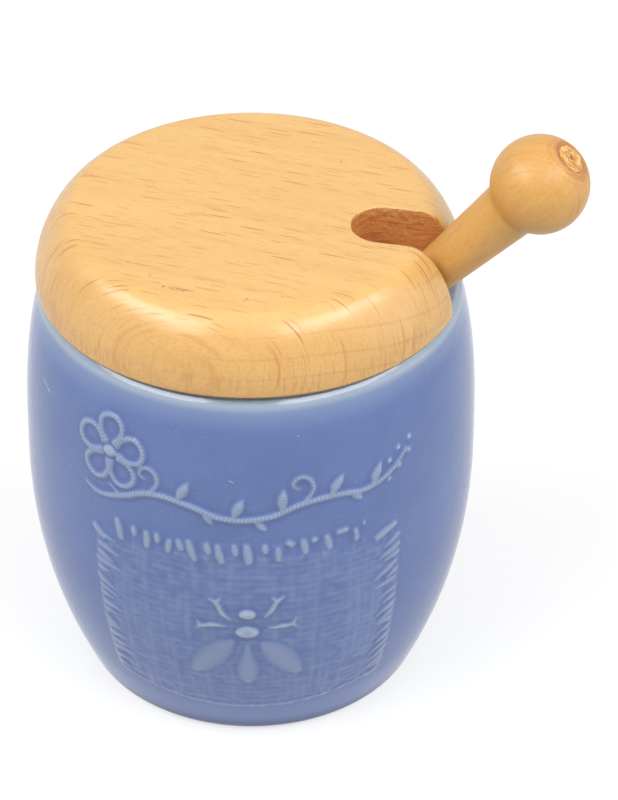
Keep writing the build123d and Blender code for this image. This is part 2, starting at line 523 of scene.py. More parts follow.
plug_rows = [(plug_outer, edge_inner[OUTER_STEPS:-OUTER_STEPS])]
plug_foot = rounded([
    (plug_radius, lid_base, 0), (plug_radius, plug_base + plug_chamfer, 0.5),
    (plug_radius - plug_chamfer, plug_base, 0.3), (plug_radius - 3, plug_base, 0)], 3)[1:-1]
plug_side = [(plug_radius, lid_base - drop) for drop in (0.6, 1.2, 1.8, 2.4)]
for radius, height in [*plug_side, *plug_foot]:
    half = notch_width_at(height)
    rim = lid_rim(radius, half)
    slot = lid_notch(rim, half, 1.0)[OUTER_STEPS:-OUTER_STEPS]
    plug_rows.append((row_of(lid_mesh, rim, height), row_of(lid_mesh, slot, height)))
for (outer, inner), (lower_outer, lower_inner) in zip(plug_rows, plug_rows[1:]):
    loft(lid_mesh, outer + inner, lower_outer + lower_inner, rim_length - 1)
lid_mesh.faces.new(list(reversed(plug_rows[-1][0] + plug_rows[-1][1])))
print("lid with its plug: faces", len(lid_mesh.faces))

# %% [markdown]
# ## Two finishes on the lid
#
# The turned faces are sanded and oiled. Low on the side the rays stand as close upright lines, and the lowest edge is
# painted dark, as painted shade for the gap over the rim. A few pin marks and one scrape lie on the top. The notch is
# milled and left as the cutter leaves it: browner, scored along the wall, with pale specks where the fibres tore.

# %% The sanded beech of the lid
lid_grain = (0, 0, lid_top * MM), (0, 0, radians(-6))      # where the grain's space starts, and its turn


def on_lid(x, y, z):
    """Low at the front and back of the lid the surface runs along the rays, and they fade."""
    along_rays = (y * y / (x * x + y * y)).rises(0.70, 0.97)
    return (along_rays * z.falls(-5.5, -1.0) * 0.88).rest()


lid_face, tree, (x, y, z), wood, hills = beech(
    "lid_beech", *lid_grain, pale=(228, 182, 110), warm=(219, 169, 97), dash=(186, 114, 42), gloss=0.24,
    rays_show=on_lid)
tree.nodes["Principled BSDF"].inputs["Specular IOR Level"].default_value = 0.7
round_side = y.step("ARCTAN2", x) * lid_radius
lines = noise(tree, (round_side / 0.55, z / 5.0), 1.0).rises(0.52, 0.70)
wood = tinted(tree, wood, lines * z.falls(-12.0, -6.0) * 0.32, (176, 110, 54))
flat_rays = noise(tree, ((y - z * RAY_LEAN) / 0.5, x / 16, z / 16), 2.0, 0.6).rises(0.48, 0.68)
wood = tinted(tree, wood, flat_rays * on_lid(x, y, z).rest() * 0.30, (186, 118, 60))
end_grain = noise(tree, (x / 0.9, y / 0.4, z / 0.4), 2.0, 0.7).rises(0.40, 0.70)
wood = tinted(tree, wood, end_grain * z.falls(-6.0, -0.5) * 0.24, (186, 118, 60))
print("sanded beech:", len(tree.nodes), "nodes before its marks")

# %% Small marks on the lid, and painted shade along its lowest edge
pin_marks = [                          # x, y, radius, mm
    (-14.1, -27.8, 0.3), (-11.9, -30.2, 0.28), (-10.6, -31.1, 0.4), (6.7, -31.9, 0.35), (6.4, -32.6, 0.25),
    (-19.5, -24.3, 0.3), (13.3, -29.7, 0.25), (14.7, 21.1, 0.35)]
scrape_place, scrape_half = (-4.3, -32.2), (3.2, 0.75)

grain_angle = lid_grain[1][2]
marks = None
for pin_x, pin_y, size in pin_marks:
    off_x = x - (pin_x * cos(grain_angle) + pin_y * sin(grain_angle))
    off_y = y - (pin_y * cos(grain_angle) - pin_x * sin(grain_angle))
    mark = length_of(off_x, off_y).falls(size * 0.4, size)
    marks = mark if marks is None else marks.step("MAXIMUM", mark)
off_x, off_y = ((value - place) / half for value, place, half in zip((x, y), scrape_place, scrape_half))
scrape = (off_x * off_x + off_y * off_y).falls(0.2, 1.0)
scrape = scrape * noise(tree, (x / 0.5, y / 0.35), 2.0, 0.7).rises(0.48, 0.60)
wood = tinted(tree, wood, marks.step("MAXIMUM", scrape) * z.rises(-1.5, -0.5) * 0.8, (146, 84, 36))
# Painted shade: a dark band round the lid's lowest edge stands for the shadowed gap over the rim.
gap_shade_paint = length_of(x, y).rises(lid_radius - 2.5, lid_radius - 1.5)
gap_shade_paint = gap_shade_paint * z.falls(0.8 - lid_thickness, 1.1 - lid_thickness)
wood = tinted(tree, wood, gap_shade_paint * 0.8, (76, 46, 26))
finish_wood(tree, wood, hills)

# %% The milled beech of the notch, and the lid put together
lid_milled, tree, (x, y, z), wood, hills = beech(
    "lid_notch_beech", *lid_grain, pale=(224, 154, 88), warm=(210, 138, 74), dash=(150, 84, 42), gloss=0.5,
    rays_show=lambda x, y, z: 0.1)
scored = noise(tree, (x / 3.5, y / 3.5, z / 0.30), 3.0, 0.6)
specks = noise(tree, (x / 0.6, y / 0.6, z / 0.4), 3.0, 0.7)
wood = tinted(tree, wood, scored.rises(0.38, 0.66) * 0.5, (164, 94, 48))
wood = tinted(tree, wood, specks.rises(0.56, 0.64) * 0.55, (246, 190, 124))
wood = tinted(tree, wood, z.rises(-1.5, -0.2) * specks.rises(0.42, 0.56) * 0.8, (238, 190, 124))
finish_wood(tree, wood, hills + scored * 1.4 + specks * 1.2)

beech_lid = finished(lid_mesh, "beech_lid", lid_face, lid_milled)
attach(beech_lid, "lid")
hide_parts("lid")

# %% [markdown]
# ## The dipper
#
# A honey dipper is turned from one stick: a ball to hold, a shaft that thins towards the pot, and a head cut with deep
# round-bottomed grooves that hold the honey. It is one profile spun about the stick's own axis, which leans. The
# profile is written along that axis, counted downwards from the middle of the ball.

# %% The dipper's sizes, in millimetres
lean = radians(40.8)
ball_middle = Vector((59.5, 0, 124.5))
ball_radius, neck_radius, chuck_radius = 10.09, 6.2, 3.8
shaft_middle_radius, shaft_middle = 4.2, 40.0
shaft_end_radius = 3.6
head_middle, head_half_length, head_radius = 119.5, 21.0, 13.0
groove_count, groove_pitch, groove_width, groove_core = 6, 5.1, 2.5, 5.6
groove_lip, groove_floor = 0.35, 1.15
up_shaft = Vector((sin(lean), 0, cos(lean)))
first_groove = head_middle - groove_pitch * (groove_count - 1) / 2
last_groove = first_groove + groove_pitch * (groove_count - 1)
dipper_end = head_middle + head_half_length
print("dipper:", round(ball_radius + dipper_end, 1), "mm long, grooves from", first_groove, "to", last_groove)


# %% The ball and the shaft
def through(points, steps):
    """A smooth line through points, by Catmull and Rom's rule."""
    points = [Vector(point) for point in points]
    points = [points[0] * 2 - points[1]] + points + [points[-1] * 2 - points[-2]]
    line = []
    for before, start, end, after in zip(points, points[1:], points[2:], points[3:]):
        for step in range(steps):
            t = step / steps
            bend, twist = 2 * before - 5 * start + 4 * end - after, 3 * start - before - 3 * end + after
            line.append(0.5 * (2 * start + (end - before) * t + bend * t**2 + twist * t**3))
    return line + [points[-2]]


neck_angle = asin(neck_radius / ball_radius)
chuck_angle = asin(chuck_radius / ball_radius)
chuck_top = ball_radius * (1 - cos(chuck_angle)) - ball_radius       # where the torn spot meets the ball
chuck_mark = [Vector((radius, chuck_top + dip)) for radius, dip in (
    (0.15, 0.35), (0.35, 0.28), (0.55, 0.0), (0.8, -0.25), (1.2, -0.28), (1.6, -0.22), (2.0, -0.24),
    (2.4, -0.15), (2.8, -0.12), (3.1, 0.0), (3.3, 0.22), (chuck_radius, 0.22))]
ball = chuck_mark + [
    Vector((ball_radius * sin(angle), -ball_radius * cos(angle)))
    for angle in np.linspace(chuck_angle + 0.02, pi - neck_angle, 40)]
head_start = head_middle - head_half_length * sqrt(1 - (shaft_end_radius / head_radius) ** 2)
shaft = through([
    (neck_radius, ball[-1].y), (5.35, 21), (shaft_middle_radius, shaft_middle), (3.75, 60),
    (shaft_end_radius, (shaft_middle + head_middle) / 2), (shaft_end_radius, head_start)], 10)[1:-1]
print("ball of", len(ball), "points, shaft of", len(shaft))


# %% The grooved head
def on_head(along):
    """A point of the head's bare egg at a distance down the dipper."""
    return head_radius * sqrt(max(0.0, 1 - ((along - head_middle) / head_half_length) ** 2)), along


grooves = []
for groove in range(groove_count):
    middle = first_groove + groove * groove_pitch
    for edge in (middle - groove_width / 2, middle + groove_width / 2):
        corners = [(*on_head(edge), groove_lip), (groove_core, edge, groove_floor)]
        grooves += corners if edge < middle else corners[::-1]
    grooves.append((*on_head(middle + groove_pitch / 2), 0))
clear_of_groove = groove_width / 2 + 0.8
upper_head = [(*on_head(along), 0) for along in np.linspace(head_start, first_groove - clear_of_groove, 9)]
lower_turn = asin((last_groove + clear_of_groove - head_middle) / head_half_length)
lower_head = [
    (*on_head(head_middle + head_half_length * sin(turn)), 0)
    for turn in np.linspace(lower_turn, pi / 2, 12)[:-1]]
head = rounded(upper_head + grooves[:-1] + lower_head, 4)
dipper_profile = [(point.x, point.y) for point in [*ball, *shaft, *head]]
print("dipper's profile:", len(dipper_profile), "points")

# %% [markdown]
# The lathe's centre held the ball at its end. When the stick comes off, that spot is torn and out of round, so the
# profile's first points are pushed about by noise while they are spun.

# %% The dipper spun from its profile
torn_from = chuck_top + 0.6            # points above this belong to the torn spot
across_shaft, beside_shaft = Vector((cos(lean), 0, -sin(lean))), Vector((0, 1, 0))


def spun(mesh, profile, place, segments):
    """Spins (radius, along) points into rows of quads, open at both ends. place says where a point goes."""
    rows = []
    for radius, along in profile:
        turns = [2 * pi * step / segments for step in range(segments)]
        rows.append([mesh.verts.new(place(radius, along, turn)) for turn in turns])
    for upper, lower in zip(rows, rows[1:]):
        for index in range(segments):
            beside = (index + 1) % segments
            mesh.faces.new((upper[index], lower[index], lower[beside], upper[beside]))
    return rows


def on_dipper(radius, along, turn):
    """A point of the dipper, moved a little where the wood is torn."""
    if along < torn_from and radius <= chuck_radius:
        spot = Vector((radius * cos(turn), radius * sin(turn), 0))
        round_about = Vector((cos(turn), sin(turn), 3.0))
        radius *= 1 + 0.16 * field.noise(round_about * 1.3) * (radius < chuck_radius)
        along += 0.30 * (0.3 + field.noise(spot * 1.3)) * min(1.0, radius)
    arm = (across_shaft * cos(turn) + beside_shaft * sin(turn)) * radius
    return (ball_middle - up_shaft * along + arm) * MM


dipper_mesh = bmesh.new()
dipper_rows = spun(dipper_mesh, dipper_profile, on_dipper, 96)
for row, along in ((dipper_rows[0], torn_from), (dipper_rows[-1], dipper_end)):
    fan(dipper_mesh, dipper_mesh.verts.new(on_dipper(0, along, 0)), row)
print("dipper: faces", len(dipper_mesh.faces))

# %% [markdown]
# ## The dipper's wood
#
# The dipper is turned from a stick whose grain runs along it, and it is drier and duller than the lid. Round the torn
# spot the fibres are bruised in swirls. In the spot itself they stand up as pale crumbs with dark curls between, and a
# dark rim runs round it.

# %% The dipper's finish
dipper_turn = up_shaft.to_track_quat("X", "Z").to_euler()


def on_stick(x, y, z):
    """The rays show on the two sides that cut across them."""
    return -(y * y / (y * y + z * z)).rises(0.3, 0.8) * 0.22 + 0.3


dipper_beech, tree, (x, y, z), wood, hills = beech(
    "dipper_beech", tuple(ball_middle * MM), tuple(dipper_turn), pale=(219, 168, 92), warm=(208, 151, 80),
    dash=(160, 98, 46), gloss=0.36, ray_lean=0.0, rays_show=on_stick)
dull = noise(tree, (x / 2.4, y / 0.5, z / 0.5), 3.0, 0.7).rises(0.38, 0.72)
wood = tinted(tree, wood, dull * 0.22, (178, 112, 56))
print("dipper's beech:", len(tree.nodes), "nodes before its torn spot")

# %% The torn spot on the ball, and the dipper put together
spot_radius = 3.3
off_axis = length_of(y, z)
ragged = off_axis + (noise(tree, (x / 3, y / 1.6, z / 1.6)) - 0.5) * 1.6
at_chuck = x.rises(5.0, 7.0)
swirl = noise(tree, (ragged / 0.45, y / 7, z / 7)).rises(0.46, 0.60)
wood = tinted(tree, wood, swirl * off_axis.falls(3.6, 7.0) * at_chuck * 0.60, (180, 112, 56))
wood = tinted(tree, wood, ragged.falls(3.6, 5.2) * at_chuck * 0.42, (190, 122, 66))

crumbs = noise(tree, (x / 0.6, y / 1.1, z / 1.1), 3.0, 0.65)
curls = noise(tree, (ragged / 0.55, y / 3, z / 3)).rises(0.50, 0.60)
torn_wood = blended(tree, crumbs.rises(0.40, 0.60), screen(250, 206, 126), screen(208, 142, 66))
torn_wood = tinted(tree, torn_wood, ragged.falls(0.8, 1.9) * 0.6, (204, 140, 72))
torn_wood = tinted(tree, torn_wood, curls * 0.7, (178, 112, 54))
torn_wood = tinted(tree, torn_wood, off_axis.falls(0.35, 0.75), (130, 78, 38))
wood = blended(tree, ragged.falls(spot_radius - 0.15, spot_radius + 0.05) * at_chuck, wood, torn_wood)
rim_of_tear = abs(ragged - spot_radius).falls(0.05, 0.30) * at_chuck
wood = tinted(tree, wood, rim_of_tear * 0.6, (150, 92, 46))
finish_wood(tree, wood, hills)

beech_dipper = finished(dipper_mesh, "beech_dipper", dipper_beech)
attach(beech_dipper, "dipper")
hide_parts("dipper")

# %% [markdown]
# ## The barrel
#
# The pot is thrown on a wheel, so it too is one profile spun round an axis. But its front carries fine relief: cords
# thinner than a millimetre and the weave of a cloth. A mesh that is fine all over would be far too heavy, so the
# outside wall is laid out as square cells, and only the cells that carry relief are divided. Each plain cell next to a
# divided one becomes a fan of triangles that takes in its neighbour's extra points, so the wall stays closed.

# %% The pot's sizes, in millimetres
pot_low, pot_high = (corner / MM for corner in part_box("pot"))
pot_height = pot_high.z
belly_radius, belly_height = -pot_low.x, 53.7
foot_draw, foot_power = 11.9, 2.16
rim_draw, rim_power = 3.9, 2.95
mouth_radius, mouth_depth, mouth_rounding = 38.3, 8.0, 1.2
rim_edge = [(44.0, 92.2, 1.5), (42.75, 93.5, 1.1)]      # the bevelled rim: radius, height, rounding
heel_rounding, floor_height, floor_rounding, wall_thickness = 3.6, 6.5, 8.0, 5.0
recess_radius, recess_depth = 29.0, 1.5
front = radians(-78.3)                # where the decoration faces
wall_low, wall_high = 2.3, 91.0       # between the rounded heel and the rounded rim
COLUMNS, ROWS, DIVISIONS = 123, 37, 9
girth_length = 2 * pi * belly_radius
cell_wide, cell_high = girth_length / COLUMNS, (wall_high - wall_low) / ROWS


def wall_radius(height):
    """Outside radius of the barrel at a height."""
    below = max(0.0, (belly_height - height) / belly_height)
    above = max(0.0, (height - belly_height) / (pot_height - belly_height))
    return belly_radius - foot_draw * below**foot_power - rim_draw * above**rim_power


print("pot: height", round(pot_height, 2), "mm, cells", round(cell_wide, 2), "by", round(cell_high, 2),
      "mm, divided to", round(cell_wide / DIVISIONS, 2), "mm")

# %% [markdown]
# ## The mould
#
# Slip-cast and pressed ware takes its relief from a mould that someone carved flat. The same is done here: strokes are
# drawn flat, in millimetres, x along the pot's girth and y up its side. A Geometry Nodes tree sweeps a low arch along
# each stroke, as wide as the stroke is there, and can twist it like a cord or rib it like a wing. One tree makes the
# cords of the flourish, the bee and the frayed threads; only its sizes change.

# %% Helpers for Geometry Nodes trees
def new_tree(name, inputs, made):
    """An empty Geometry Nodes tree. inputs gives each input's name and kind; made names what comes out."""
    tree = bpy.data.node_groups.new(name, "GeometryNodeTree")
    for label, kind in inputs.items():
        tree.interface.new_socket(label, in_out="INPUT", socket_type="NodeSocket" + kind)
    tree.interface.new_socket(made, in_out="OUTPUT", socket_type="NodeSocketGeometry")
    return tree, put(tree, "NodeGroupInput").outputs


def end_tree(tree, geometry, clay):
    """Ends a tree: copies are made real, and all of it gets one material."""
    real = put(tree, "GeometryNodeRealizeInstances", {"Geometry": geometry}).outputs[0]
    painted = put(tree, "GeometryNodeSetMaterial", {"Geometry": real, "Material": clay}).outputs[0]
    put(tree, "NodeGroupOutput", {0: painted})
    return tree


def stored(tree, geometry, name, value):
    """Keeps a number on each point of a geometry, under a name."""
    return put(tree, "GeometryNodeStoreNamedAttribute", {
        "Geometry": geometry, "Name": name, "Value": value}).outputs[0]


def kept_as(tree, name):
    """A number that was stored under a name, as a Sum."""
    return Sum(tree, put(tree, "GeometryNodeInputNamedAttribute", {"Name": name}).outputs[0])


def baked(source, tree, **inputs):
    """Runs a tree on an object and returns the result as a plain mesh. The object is used up."""
    modifier = source.modifiers.new(tree.name, "NODES")
    modifier.node_group = tree
    for item in tree.interface.items_tree:
        label = item.name.lower().replace(" ", "_")
        if item.in_out == "INPUT" and label in inputs:
            modifier[item.identifier] = inputs.pop(label)
    assert not inputs, inputs
    evaluated = source.evaluated_get(bpy.context.evaluated_depsgraph_get())
    mesh = bpy.data.meshes.new_from_object(evaluated)
    bpy.data.objects.remove(source)
    return mesh


# %% The stroke tree
def stroke_tree(name):
    """Sweeps a low arch along flat curves. The curve's radius is the stroke's half width, in millimetres."""
    tree, given = new_tree(name, {
        "Strokes": "Geometry", "Step": "Float", "Lift": "Float", "Rib pitch": "Float", "Rib depth": "Float",
        "Rib slant": "Float", "Clay": "Material"}, "Relief")
    path = put(tree, "GeometryNodeResampleCurve", {
        "Curve": given["Strokes"], "Length": given["Step"]}, mode="LENGTH").outputs[0]
    path = put(tree, "GeometryNodeSetCurveNormal", {"Curve": path}, mode="Z_UP").outputs[0]
    length = put(tree, "GeometryNodeSplineParameter").outputs["Length"]
    half_width = put(tree, "GeometryNodeInputRadius").outputs[0]
    path = stored(tree, path, "along", length)
    path = stored(tree, path, "breadth", half_width)

    chord = put(tree, "GeometryNodeCurvePrimitiveLine", {"Start": (-1, 0, 0), "End": (1, 0, 0)}).outputs[0]
    chord = put(tree, "GeometryNodeResampleCurve", {"Curve": chord, "Count": 9}, mode="COUNT").outputs[0]
    position = put(tree, "GeometryNodeInputPosition").outputs[0]
    chord = stored(tree, chord, "across", parts_of(tree, position)[0])
    ribbon = put(tree, "GeometryNodeCurveToMesh", {
        "Curve": path, "Profile Curve": chord, "Scale": half_width}).outputs[0]

    across, along, breadth = (kept_as(tree, label) for label in ("across", "along", "breadth"))
    arch = (across * across).rest().step("MAXIMUM", 0.0) ** 0.6
    height = arch * given["Lift"] * (breadth / (breadth + 0.12))
    ribbon = stored(tree, ribbon, "rib_turn", along / given["Rib pitch"] + across * given["Rib slant"])
    ribbon = stored(tree, ribbon, "rib_share", given["Rib depth"])
    lifted = put(tree, "GeometryNodeSetPosition", {
        "Geometry": ribbon, "Offset": vector_of(tree, z=height)}).outputs[0]
    return end_tree(tree, lifted, given["Clay"])


def strokes(name, lines):
    """A flat curve object. Each line is a list of (x, y, half width)."""
    data = bpy.data.curves.new(name, "CURVE")
    data.dimensions = "3D"
    for line in lines:
        spline = data.splines.new("BEZIER")
        spline.bezier_points.add(len(line) - 1)
        for point, (x, y, half) in zip(spline.bezier_points, line):
            point.co, point.radius = (x, y, 0), half
            point.handle_left_type = point.handle_right_type = "AUTO"
    return mesh_object(name, data)


glaze, glaze_tree, glaze_shader, glaze_place = new_material("periwinkle_glaze")
stroke = stroke_tree("stroke")
print("stroke tree:", len(stroke.nodes), "nodes")

# %% [markdown]
# ## What is drawn on the mould
#
# A bee sits on the cloth: two beads for its head and back, a ribbed tail, two ribbed wings and four forked legs. Above
# the cloth runs a flourish of a blossom and a leafy vine, laid like cord. Short tufts stand where the cloth's top edge
# is torn. Each is a handful of strokes, and each stroke has only the points that its shape needs.

# %% The bee's strokes
def oval(x, y, across, up):
    """A round bead as one short stroke, wide in the middle."""
    steps = (-1, -0.94, -0.75, -0.4, 0, 0.4, 0.75, 0.94, 1)
    return [(x + across * step, y, max(up * sqrt(1 - step * step), 0.12)) for step in steps]


bee_body = [oval(0.0, 41.7, 1.75, 1.5), oval(-0.05, 36.6, 2.4, 1.9)]
bee_tail = [[(0, 33.0, 0.6), (0, 30.0, 1.1), (0, 27.4, 2.2), (0, 24.8, 3.0), (0, 22.0, 2.4), (0, 20.2, 0.8)]]
bee_wings = [
    [(-2.9, 33.9, 0.7), (-5.0, 32.0, 2.8), (-7.6, 28.9, 3.7), (-10.1, 25.9, 3.1), (-12.2, 23.2, 1.1)],
    [(2.8, 33.3, 0.7), (4.8, 31.6, 2.8), (7.2, 28.7, 3.7), (9.5, 25.6, 3.1), (11.5, 22.8, 1.1)]]
leg_fullness = 1.35
bee_legs = [[(x, y, half * leg_fullness) for x, y, half in leg] for leg in (
    [(-3.2, 39.8, 0.2), (-5.2, 41.9, 0.45), (-6.5, 44.8, 0.4), (-8.1, 45.8, 0.2)],
    [(-6.5, 44.8, 0.4), (-5.4, 46.0, 0.2)],
    [(3.5, 40.7, 0.2), (5.2, 43.2, 0.45), (6.2, 45.2, 0.4), (7.9, 46.5, 0.2)],
    [(6.2, 45.2, 0.4), (4.9, 46.4, 0.2)],
    [(-4.2, 38.0, 0.2), (-7.4, 38.4, 0.5), (-9.8, 37.9, 0.35), (-10.8, 39.3, 0.15)],
    [(-9.8, 37.9, 0.35), (-10.9, 36.9, 0.15)],
    [(4.3, 37.8, 0.2), (7.4, 38.1, 0.5), (9.4, 38.6, 0.35), (10.3, 40.6, 0.15)],
    [(9.4, 38.6, 0.35), (10.8, 36.9, 0.15)])]
print("bee:", len(bee_body + bee_tail + bee_wings + bee_legs), "strokes")

# %% The flourish's strokes
blossom = Vector((-30.0, 76.5))
petal_path = [(1.8, 0.7), (4.4, 2.6), (7.2, 2.3), (8.2, 0.0), (7.2, -2.3), (4.4, -2.6), (1.8, -0.7)]
petals = []
for petal in range(5):
    turn = radians(90 + 72 * petal)
    out, aside = Vector((cos(turn), sin(turn))), Vector((-sin(turn), cos(turn)))
    petals.append([(*(blossom + out * far + aside * wide), 0.68) for far, wide in petal_path])
seed_head = [[(-31.6, 76.5, 0.5), (-30.6, 76.5, 1.5), (-29.4, 76.5, 1.5), (-28.4, 76.5, 0.5)]]
vine = [
    [(-36.5, 66.4, 0.4), (-33.0, 65.2, 0.6), (-27.5, 66.6, 0.75), (-20.5, 69.6, 0.8), (-12.5, 69.0, 0.8),
     (-4.5, 66.5, 0.8), (4.0, 66.9, 0.8), (11.5, 69.6, 0.8), (18.5, 70.2, 0.75), (25.5, 69.6, 0.7),
     (31.5, 71.6, 0.6), (35.8, 75.2, 0.4)],
    [(-30.2, 68.6, 0.3), (-26.5, 66.9, 0.4), (-24.2, 67.6, 0.4)],
    [(-20.5, 69.6, 0.4), (-18.6, 73.2, 0.5), (-21.0, 75.6, 0.5), (-22.7, 73.8, 0.4), (-21.3, 72.7, 0.3)],
    [(11.5, 69.6, 0.4), (13.8, 73.4, 0.5), (11.4, 76.0, 0.5), (9.5, 74.3, 0.4), (10.9, 73.0, 0.3)]]
leaf_shape = [(0.1, 0.25), (0.4, 1.05), (0.7, 0.9), (1.0, 0.12)]      # along the leaf, and half its width
upper_leaf, lower_leaf, drawn_leaf = 5.6, 4.0, 4.6                    # lengths, mm
leaves = []
for x, y, turn in ((-14.5, 69.4, 62), (-9.0, 68.1, -58), (-3.0, 66.4, 66), (1.5, 66.4, -48), (7.0, 68.0, 84),
                   (17.0, 70.3, 54), (21.5, 70.1, -42), (26.5, 69.8, 62)):
    along = Vector((cos(radians(turn)), sin(radians(turn))))
    size = upper_leaf if turn > 0 else lower_leaf
    stem = Vector((x, y))
    leaves.append([(*(stem + along * size * far), half * size / drawn_leaf) for far, half in leaf_shape])
bud_places = [                         # seven off the vine's end and one in the middle of the blossom
    (28.6, 72.6), (31.0, 69.8), (31.2, 74.0), (33.6, 72.0), (33.6, 76.2), (36.4, 74.4), (36.6, 77.4),
    (-30.3, 76.5)]
buds = [[(x - 0.5, y, 0.35), (x, y, 0.75), (x + 0.5, y, 0.35)] for x, y in bud_places]
print("flourish:", len(petals + seed_head + vine + leaves + buds), "strokes")

# %% The cloth's place and its torn top edge
patch_half, patch_top, patch_bottom, top_bow, bottom_bow = 33.6, 60.0, 10.6, 4.2, 3.9
tufts = [[(x, y, 0.42 + half * 0.72) for x, y, half in tuft] for tuft in (
    [(-34.6, 56.4, 0.5), (-33.0, 55.0, 0.9), (-31.2, 54.0, 0.3)],
    [(-28.3, 60.6, 0.3), (-27.8, 58.8, 0.95), (-27.0, 55.4, 0.5)],
    [(-24.2, 60.2, 0.3), (-24.0, 58.9, 0.7), (-23.9, 57.6, 0.2)],
    [(-21.2, 60.0, 0.4), (-21.0, 58.0, 0.9), (-21.1, 55.6, 0.4)],
    [(-18.9, 60.2, 0.3), (-18.7, 58.9, 0.75), (-18.6, 57.7, 0.2)],
    [(-16.0, 59.5, 0.3), (-16.2, 57.8, 0.7), (-16.4, 56.0, 0.3)],
    [(-14.2, 60.0, 0.3), (-13.8, 58.6, 0.8), (-13.3, 57.2, 0.3)],
    [(-12.1, 60.2, 0.4), (-11.5, 58.0, 0.85), (-10.5, 55.0, 0.3)],
    [(-8.3, 60.1, 0.4), (-8.0, 58.6, 0.85), (-7.6, 57.2, 0.2)],
    [(-6.0, 60.0, 0.4), (-5.6, 57.6, 0.95), (-5.0, 55.3, 0.5)],
    [(-2.6, 60.2, 0.3), (-2.4, 58.8, 0.7), (-2.2, 57.4, 0.2)],
    [(-0.1, 60.2, 0.5), (0.2, 57.8, 1.1), (0.5, 55.3, 0.6)],
    [(3.6, 60.2, 0.4), (3.7, 58.9, 0.8), (3.8, 57.8, 0.2)],
    [(6.4, 59.4, 0.3), (6.4, 57.8, 0.7), (6.4, 55.8, 0.4)],
    [(8.0, 60.6, 0.5), (9.6, 59.4, 0.7)],
    [(11.5, 60.8, 0.4), (11.8, 58.9, 0.85), (12.1, 56.9, 0.4)],
    [(13.6, 60.7, 0.5), (14.1, 59.5, 0.7)],
    [(16.4, 60.8, 0.4), (16.8, 59.0, 0.8), (17.2, 57.0, 0.4)],
    [(18.6, 60.7, 0.5), (21.2, 61.0, 0.6)],
    [(22.8, 60.6, 0.3), (23.2, 57.4, 0.5)],
    [(24.5, 61.2, 0.5), (25.1, 61.2, 0.7)],
    [(27.4, 55.8, 0.6), (30.2, 56.9, 1.0), (32.9, 57.9, 0.5)])]
print("cloth:", 2 * patch_half, "by", patch_top - patch_bottom, "mm, with", len(tufts), "tufts")


# %% The strokes raised
def raised(name, lines, step, lift, rib_pitch=1.0, rib_depth=0.0, rib_slant=0.0):
    """The relief of some strokes, lift high at the crown, and ribbed or twisted as rib_depth says."""
    mesh = baked(strokes(name, lines), stroke, step=step, lift=lift, rib_pitch=rib_pitch, rib_depth=rib_depth,
                 rib_slant=rib_slant, clay=glaze)
    print(f"{name}: {len(lines)} strokes, {len(mesh.vertices)} vertices")
    return mesh


moulds = [
    raised("bee_body", bee_body, 0.15, 1.15),
    raised("bee_tail", bee_tail, 0.12, 0.46, 0.85, 1.0, 0.25),
    raised("bee_wings", bee_wings, 0.12, 0.46, 0.65, 1.0, 0.3),
    raised("bee_legs", bee_legs, 0.15, 0.8),
    raised("blossom_cords", petals, 0.12, 0.8, 0.85, 1.0, 0.35),
    raised("vine_cords", vine, 0.12, 0.8, 0.85, 1.0, 0.35),
    raised("leaves", leaves, 0.12, 0.7, 0.8, 0.6, 0.4),
    raised("buds", buds, 0.12, 0.8),
    raised("seed_head", seed_head, 0.12, 1.0),
    raised("tufts", tufts, 0.15, 0.58),
]

# %% [markdown]
# ## Frayed threads down the cloth's sides
#
# The cloth's left and right edges are a row of short slanting threads, one like the next but none quite the same. That
# is what instancing is for: one short thread, already raised as a stroke, is set on evenly spaced points down each
# edge, with a little random turn and size, and the copies are made real.

# %% The fray tree
def fray_tree():
    """Sets copies of one thread on points along a line, with a seeded random place, turn and size."""
    tree, given = new_tree("frays", {
        "Edge": "Geometry", "Thread": "Object", "Pitch": "Float", "Slant": "Float", "Loose": "Float",
        "Seed": "Int", "Clay": "Material"}, "Threads")

    def chance(low, high, shift):
        seed = Sum(tree, given["Seed"]) + shift
        return Sum(tree, put(tree, "FunctionNodeRandomValue", {2: low, 3: high, "Seed": seed}).outputs[1])

    points = put(tree, "GeometryNodeCurveToPoints", {
        "Curve": given["Edge"], "Length": given["Pitch"]}, mode="LENGTH").outputs[0]
    points = put(tree, "GeometryNodeSetPosition", {
        "Geometry": points, "Offset": vector_of(tree, chance(-0.5, 0.5, 3), chance(-0.3, 0.3, 5))}).outputs[0]
    thread = put(tree, "GeometryNodeObjectInfo", {"Object": given["Thread"]}, transform_space="ORIGINAL")
    turn = vector_of(tree, z=chance(-1.0, 1.0, 0) * given["Loose"] + given["Slant"])
    copies = put(tree, "GeometryNodeInstanceOnPoints", {
        "Points": points, "Instance": thread.outputs["Geometry"],
        "Rotation": put(tree, "FunctionNodeEulerToRotation", {0: turn}).outputs[0],
        "Scale": vector_of(tree, chance(0.6, 1.25, 7), chance(0.7, 1.15, 9), 1.0)}).outputs[0]
    return end_tree(tree, copies, given["Clay"])


fray = fray_tree()
print("fray tree:", len(fray.nodes), "nodes")

# %% The frayed edges and the mould joined
fray_slant = 0.34                      # how far the threads hang from level, radians
edge_low, edge_high = patch_bottom + bottom_bow + 0.8, patch_top - top_bow - 1.0
thread = mesh_object("thread", raised("one_fray", [[(0, 0, 0.7), (1.6, 0, 1.05), (5.4, 0, 0.4)]], 0.15, 0.5))
cloth_sides = ("left_edge", -patch_half, -fray_slant), ("right_edge", patch_half, pi + fray_slant)
for name, side, slant in cloth_sides:
    edge = strokes(name, [[(side, edge_low, 1.0), (side, edge_high, 1.0)]])
    moulds.append(baked(edge, fray, thread=thread, pitch=2.3, slant=slant, loose=0.32, seed=11, clay=glaze))
    print(f"{name}: {len(moulds[-1].vertices)} vertices")
bpy.data.objects.remove(thread)


